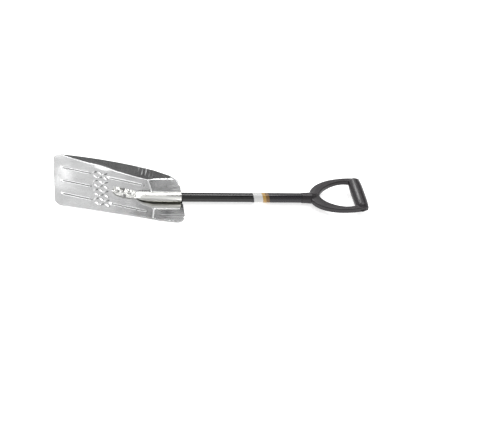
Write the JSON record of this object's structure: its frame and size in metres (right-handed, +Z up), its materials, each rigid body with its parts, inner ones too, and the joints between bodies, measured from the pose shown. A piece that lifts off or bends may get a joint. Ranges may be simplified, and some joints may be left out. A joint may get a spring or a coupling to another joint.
{
  "type": "grain scoop shovel",
  "caption": "Short aluminium grain scoop: shallow stamped pan with raised beads, riveted steel socket, tubular shaft and moulded D-grip.",
  "frame": {"origin": "on the ground plane under the middle of the shovel, as it lies level on its heel and its grip ferrule", "axes": "+X along the shaft towards the grip, +Y across the blade, +Z up"},
  "size_m": [0.838, 0.214, 0.0776],
  "materials": {
    "blade_aluminium": "stamped mill-finish sheet, satin",
    "socket_steel": "bright zinc plated, polished",
    "rivet_steel": "dull grey",
    "shaft_enamel": "black enamel, semi-gloss",
    "label_film": "printed film sleeve: black with a pale, a gold and a brown band, no lettering",
    "grip_plastic": "fine moulded texture, satin"
  },
  "bodies": {
    "root": {"blade": "blade_aluminium", "tongue_rivet_near": "rivet_steel", "rivet_washer_near": "rivet_steel", "tongue_rivet_far": "rivet_steel", "rivet_washer_far": "rivet_steel", "grip_plug_near": "grip_plastic", "grip_plug_far": "grip_plastic", "socket": "socket_steel", "shaft_tube": "shaft_enamel", "label_sleeve": "label_film", "d_grip": "grip_plastic", "grip_screw": "rivet_steel", "channel_rivet_front": "rivet_steel", "channel_rivet_rear": "rivet_steel"}
  },
  "joints": []
}
